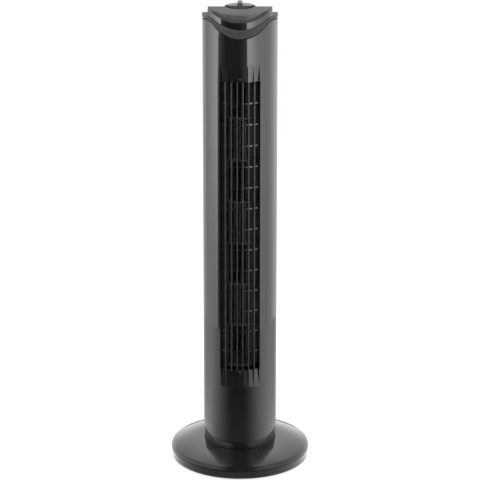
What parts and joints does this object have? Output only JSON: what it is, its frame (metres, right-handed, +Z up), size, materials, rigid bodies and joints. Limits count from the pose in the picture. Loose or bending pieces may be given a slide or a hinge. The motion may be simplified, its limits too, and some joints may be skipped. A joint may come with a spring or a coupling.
{
  "type": "tower fan",
  "caption": "Oscillating tower fan: round base, swivelling tower with a long slotted grille over a cross-flow wheel, and a rotary switch knob on the stepped top.",
  "frame": {"origin": "centre of the footprint on the floor", "axes": "+Z up along the tower, -Y towards the front of the grille, +X to the right seen from the front"},
  "size_m": [0.221, 0.221, 0.75],
  "materials": {
    "base_cover": "gloss black moulding",
    "base_plate": "textured black moulding",
    "rubber_feet": "dark grey rubber",
    "base_screws": "zinc plated steel",
    "swivel_tube": "turned steel tube",
    "slip_ring": "natural acetal",
    "swing_track": "natural acetal",
    "track_screws": "zinc plated steel",
    "swivel_washer": "natural acetal",
    "swivel_clip": "spring steel",
    "bottom_housing": "satin black moulding",
    "swing_motor": "plated steel can",
    "swing_motor_screws": "zinc plated steel",
    "crank": "natural acetal",
    "crank_roller": "natural acetal",
    "front_shell": "gloss black moulding",
    "rear_shell": "gloss black moulding",
    "shell_screws": "zinc plated steel",
    "grille_screws": "zinc plated steel",
    "intake_screen": "black dust screen",
    "cord_gland": "black rubber",
    "motor_plate": "black moulding",
    "plate_screws": "zinc plated steel",
    "motor_bracket_low": "pressed steel",
    "motor_bracket_top": "pressed steel",
    "motor_stack": "stacked electrical steel",
    "motor_windings": "enamelled copper wire",
    "motor_bolts": "zinc plated steel",
    "motor_mounts": "black rubber",
    "motor_rotor": "ground steel and cast cage",
    "wheel_hub": "black moulding",
    "hub_screw": "zinc plated steel",
    "wheel_length_1": "black moulding",
    "wheel_length_2": "black moulding",
    "wheel_length_3": "black moulding",
    "wheel_length_4": "black moulding",
    "wheel_length_5": "black moulding",
    "wheel_length_6": "black moulding",
    "wheel_length_7": "black moulding",
    "wheel_cap": "black moulding",
    "wheel_pin": "ground steel",
    "bearing_plate": "black moulding",
    "bearing_cushion": "black rubber",
    "bearing_bush": "sintered bronze",
    "air_guide": "black moulding",
    "air_tongue": "black moulding",
    "wire_harness": "sleeved wires",
    "top_collar": "satin dark grey moulding",
    "accent_band": "gloss black moulding",
    "top_cap": "satin grey moulding",
    "cap_screws": "zinc plated steel",
    "switch_body": "phenolic switch case",
    "switch_nut": "plated steel",
    "switch_shaft": "plated steel",
    "knob": "black moulding"
  },
  "bodies": {
    "base": {"base_cover": "base_cover", "base_plate": "base_plate", "rubber_feet": "rubber_feet", "base_screws": "base_screws", "swivel_tube": "swivel_tube", "slip_ring": "slip_ring", "swing_track": "swing_track", "track_screws": "track_screws", "swivel_washer": "swivel_washer", "swivel_clip": "swivel_clip"},
    "tower": {"bottom_housing": "bottom_housing", "swing_motor": "swing_motor", "swing_motor_screws": "swing_motor_screws", "front_shell": "front_shell", "rear_shell": "rear_shell", "shell_screws": "shell_screws", "grille_screws": "grille_screws", "intake_screen": "intake_screen", "cord_gland": "cord_gland", "motor_plate": "motor_plate", "plate_screws": "plate_screws", "motor_bracket_low": "motor_bracket_low", "motor_bracket_top": "motor_bracket_top", "motor_stack": "motor_stack", "motor_windings": "motor_windings", "motor_bolts": "motor_bolts", "motor_mounts": "motor_mounts", "bearing_plate": "bearing_plate", "bearing_cushion": "bearing_cushion", "bearing_bush": "bearing_bush", "air_guide": "air_guide", "air_tongue": "air_tongue", "wire_harness": "wire_harness", "top_collar": "top_collar", "accent_band": "accent_band", "top_cap": "top_cap", "cap_screws": "cap_screws", "switch_body": "switch_body", "switch_nut": "switch_nut"},
    "wheel": {"motor_rotor": "motor_rotor", "wheel_hub": "wheel_hub", "hub_screw": "hub_screw", "wheel_cap": "wheel_cap", "wheel_pin": "wheel_pin", "wheel_length_1": "wheel_length_1", "wheel_length_2": "wheel_length_2", "wheel_length_3": "wheel_length_3", "wheel_length_4": "wheel_length_4", "wheel_length_5": "wheel_length_5", "wheel_length_6": "wheel_length_6", "wheel_length_7": "wheel_length_7"},
    "crank": {"crank": "crank"},
    "roller": {"crank_roller": "crank_roller"},
    "knob": {"knob": "knob", "switch_shaft": "switch_shaft"}
  },
  "joints": [
    {"name": "tower_swing", "type": "hinge", "parent": "base", "child": "tower", "pos_m": [0, 0, 0.04], "axis": [0, 0, 1], "range_deg": [-35, 35]},
    {"name": "knob_turn", "type": "hinge", "parent": "tower", "child": "knob", "pos_m": [0, 0, 0.74], "axis": [0, 0, 1], "range_deg": [-135, 135]},
    {"name": "wheel_spin", "type": "hinge", "parent": "tower", "child": "wheel", "pos_m": [0, 0, 0.4], "axis": [0, 0, 1], "continuous": true},
    {"name": "crank_turn", "type": "hinge", "parent": "tower", "child": "crank", "pos_m": [0, -0.028, 0.022], "axis": [0, 0, 1], "range_deg": [-114, 114]},
    {"name": "roller_spin", "type": "hinge", "parent": "crank", "child": "roller", "pos_m": [0, -0.044, 0.017], "axis": [0, 0, 1], "continuous": true}
  ],
  "couplings": [
    {"joint": "crank_turn", "follows": "tower_swing", "ratio": -3.2258}
  ]
}
